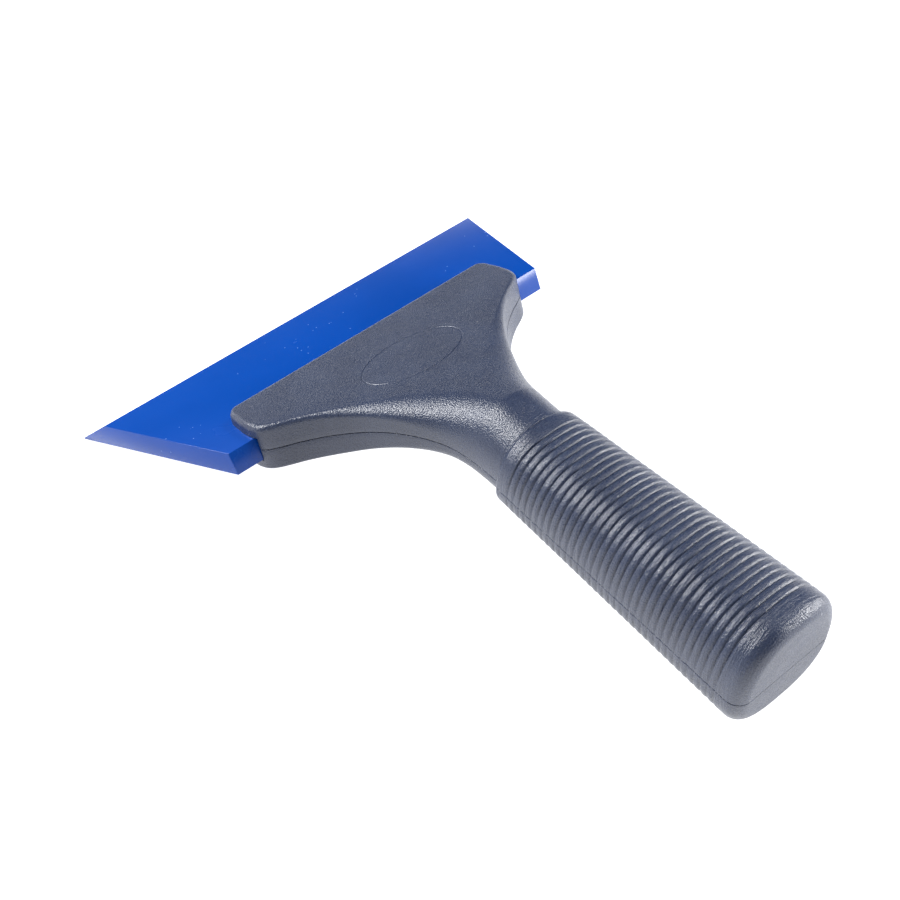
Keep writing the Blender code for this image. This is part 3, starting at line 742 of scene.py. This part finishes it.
def screwBody(shank, head, headHigh, length, pitch):
    # a pan head below z = 0 and a threaded shank above it
    core = shank - 0.15
    outline = [(0.0, length), (shank - 0.5, length), (core, length - 0.7), (core, 0.0)]
    outline += [(head - 0.1, 0.0), (head, -0.1)]
    dome = headHigh - 0.5
    for step in range(9):
        angle = math.pi / 2 * step / 8
        radius = head - 0.35 * dome - 0.65 * head * (1 - math.cos(angle)) * 0.5
        outline.append((radius, -0.5 - dome * math.sin(angle)))
    outline.append((0.0, -headHigh - 0.05))
    bm = carved("screwBlank", turned(outline, 48), crossCutter(head, -headHigh))
    ridge = bmesh.new()
    start, root = screws["threadStart"], shank - screws["threadDeep"]
    corners = ((root, start), (root, start + pitch * 0.8), (shank, start + pitch * 0.4))
    verts = [bmesh.ops.create_vert(ridge, co=(radius * mm, 0, z * mm))["vert"][0] for radius, z in corners]
    face = bmesh.ops.contextual_create(ridge, geom=verts)["faces"]
    turns = int((length - 1.2) / pitch)
    bmesh.ops.spin(ridge, geom=face, cent=(0, 0, 0), axis=(0, 0, 1), dvec=(0, 0, pitch * mm / 24),
                   angle=2 * math.pi * turns, steps=24 * turns, use_merge=False)
    bmesh.ops.recalc_face_normals(ridge, faces=ridge.faces)
    thread = meshOf("thread", ridge)
    bm.from_mesh(thread)
    bpy.data.meshes.remove(thread)
    return bm


def buildClamp(side, word):
    place = tool @ clampPlace(side)
    thick, clear = screws["washer"], screws["clear"]
    low = -clear - thick
    inner, outer, edge = screws["shank"] + clear, screws["head"] + clear, 0.12
    outline = ((inner, low + edge), (inner + edge, low), (outer - edge, low), (outer, low + edge),
               (outer, low + thick - edge), (outer - edge, low + thick), (inner + edge, low + thick),
               (inner, low + thick - edge), (inner, low + edge))
    hand = word.lower()
    asPiece(f"clampWasher{word}", turned(outline), place, "handle", f"clamp_washer_{hand}", zinc, 30)
    seat = Matrix.Translation((0, 0, (low - clear / 2) * mm))
    length = handle["headTop"] - screws["skin"] - screws["tipSpare"] - low
    bm = screwBody(screws["shank"], screws["head"], screws["headHigh"], length, screws["pitch"])
    asPiece(f"clampScrew{word}", bm, place @ seat, f"{hand}_screw", f"clamp_screw_{hand}", zinc, 30)
    nutLow = partZ + screws["nutAbovePart"]
    corner = screws["nutFlats"] / 2 / math.cos(math.pi / 6)
    nut = cylinder(corner, nutLow, nutLow + screws["nutHigh"], Matrix(), 6)
    bmesh.ops.bevel(nut, geom=nut.edges[:], offset=0.15 * mm, offset_type="OFFSET", segments=2, profile=0.5,
                    affect="EDGES", material=-1)
    bm = carved("nutBlank", nut, [cylinder(screws["shank"] + clear / 2, nutLow - 1, nutLow + 9, Matrix())])
    asPiece(f"captiveNut{word}", bm, place, "handle", f"captive_nut_{hand}", brass, 30)


buildBlade()
print("blade ready")
buildShell("upperShell", 1, "upper_handle_shell")
buildShell("lowerShell", -1, "lower_handle_shell")
print("handle shells ready")
for side, word in ((1, "Left"), (-1, "Right")):
    buildClamp(side, word)
for name, along in shellScrews.items():
    seat = Matrix.Translation((0, 0, (-screws["shellSeat"] - screws["clear"]) * mm))
    length = screws["shellSeat"] + screws["clear"] + screws["shellReach"]
    shank, head, headHigh = screws["shellShank"], screws["shellHead"], screws["shellHeadHigh"]
    bm = screwBody(shank, head, headHigh, length, screws["shellPitch"])
    first, *others = name.split("_")
    label = first + "".join(word.title() for word in others)
    asPiece(label, bm, tool @ frameAt(along) @ seat, "handle", name, zinc, 30)
print("screws ready")

studio = {
    "floorSize": 4.0, "farFloorSize": 80.0, "farFloorDrop": 0.002,
    "floorColour": (0.45, 0.45, 0.46), "floorGlow": 1.05,
    "sky": (0.80, 0.86, 1.0), "skyStrength": 0.36,
    # the dark parts of the room: (direction, how dark, how near to it the darkness starts and is full)
    "flags": (
        ((-0.47, -0.26, 0.85), 0.04, 0.70, 0.92), ((-0.40, -0.87, 0.28), 0.3, 0.5, 0.9),
        ((-0.01, 0.79, 0.61), 0.45, 0.55, 0.95),
    ),
    # name: (direction towards the light, distance, width, height, watts)
    "lights": {
        "keySoftbox": ((0.40, -0.56, 0.72), 0.9, 0.50, 0.34, 14.0),
        "topSoftbox": ((-0.56, 0.14, 0.82), 0.9, 0.10, 0.10, 2.2),
        "lowSoftbox": ((-0.75, 0.60, 0.24), 0.9, 0.45, 0.22, 11.0),
    },
    "cameraPlace": (0.21745, 0.24129, 0.33926), "cameraTurn": (0.79392, 0.03981, 2.41434),
    "lens": 65.857, "shift": (0.00035, -0.00581),
}


def buildStudio():
    floors = []
    for name, size, height in (
        ("floor", studio["floorSize"], cadLow.z),
        ("farFloor", studio["farFloorSize"], cadLow.z - studio["farFloorDrop"]),
    ):
        mesh = bpy.data.meshes.new(name)
        bm = bmesh.new()
        bmesh.ops.create_grid(bm, x_segments=1, y_segments=1, size=size / 2)
        bm.to_mesh(mesh)
        bm.free()
        floor = bpy.data.objects.new(name, mesh)
        floor.location.z = height
        bpy.context.scene.collection.objects.link(floor)
        floors.append(floor)
    # the far floor only carries the white out to the horizon, and lights nothing
    floors[1].visible_diffuse = False
    floors[1].visible_glossy = False
    floors[1].visible_shadow = False
    material = bpy.data.materials.new("paleFloor")
    material.use_nodes = True
    shader = material.node_tree.nodes["Principled BSDF"]
    shader.inputs["Base Color"].default_value = (*studio["floorColour"], 1.0)
    shader.inputs["Roughness"].default_value = 0.9
    shader.inputs["Emission Color"].default_value = (1.0, 1.0, 1.0, 1.0)
    shader.inputs["Emission Strength"].default_value = studio["floorGlow"]
    # from below the floor is clear, so the underside can be looked at
    tree = material.node_tree
    seenFromBelow = node(tree, "ShaderNodeNewGeometry").outputs["Backfacing"]
    clear = node(tree, "ShaderNodeBsdfTransparent").outputs["BSDF"]
    mixed = node(tree, "ShaderNodeMixShader", ((0, seenFromBelow), (1, shader.outputs["BSDF"]), (2, clear)))
    tree.links.new(mixed.outputs["Shader"], tree.nodes["Material Output"].inputs["Surface"])
    for floor in floors:
        floor.data.materials.append(material)

    world = bpy.data.worlds.new("studio")
    world.use_nodes = True
    room = world.node_tree
    back = room.nodes["Background"]
    back.inputs["Color"].default_value = (*studio["sky"], 1.0)
    around = node(room, "ShaderNodeTexCoord").outputs["Generated"]
    strength = studio["skyStrength"]
    for towards, dark, starts, full in studio["flags"]:
        near = node(room, "ShaderNodeVectorMath", ((0, around), (1, towards)), operation="DOT_PRODUCT")
        shaded = ramp(room, near.outputs["Value"], ((starts, 1.0), (full, dark)))
        strength = mathNode(room, "MULTIPLY", shaded, strength)
    room.links.new(strength, back.inputs["Strength"])
    bpy.context.scene.world = world

    centre = (cadLow + cadHigh) / 2
    for name, (towards, far, wide, high, watts) in studio["lights"].items():
        light = bpy.data.lights.new(name, "AREA")
        light.shape = "RECTANGLE"
        light.size = wide
        light.size_y = high
        light.energy = watts
        lamp = bpy.data.objects.new(name, light)
        lamp.location = centre + Vector(towards).normalized() * far
        lamp.rotation_euler = Vector(towards).to_track_quat("Z", "Y").to_euler()
        bpy.context.scene.collection.objects.link(lamp)

    camera = bpy.data.cameras.new("camera")
    camera.sensor_width = 36
    camera.lens = studio["lens"]
    camera.shift_x, camera.shift_y = studio["shift"]
    camera.clip_start, camera.clip_end = 0.01, 100
    holder = bpy.data.objects.new("camera", camera)
    holder.location = studio["cameraPlace"]
    holder.rotation_euler = studio["cameraTurn"]
    bpy.context.scene.collection.objects.link(holder)
    bpy.context.scene.camera = holder
    bpy.context.scene.view_settings.view_transform = "Standard"


buildStudio()
print("studio ready")
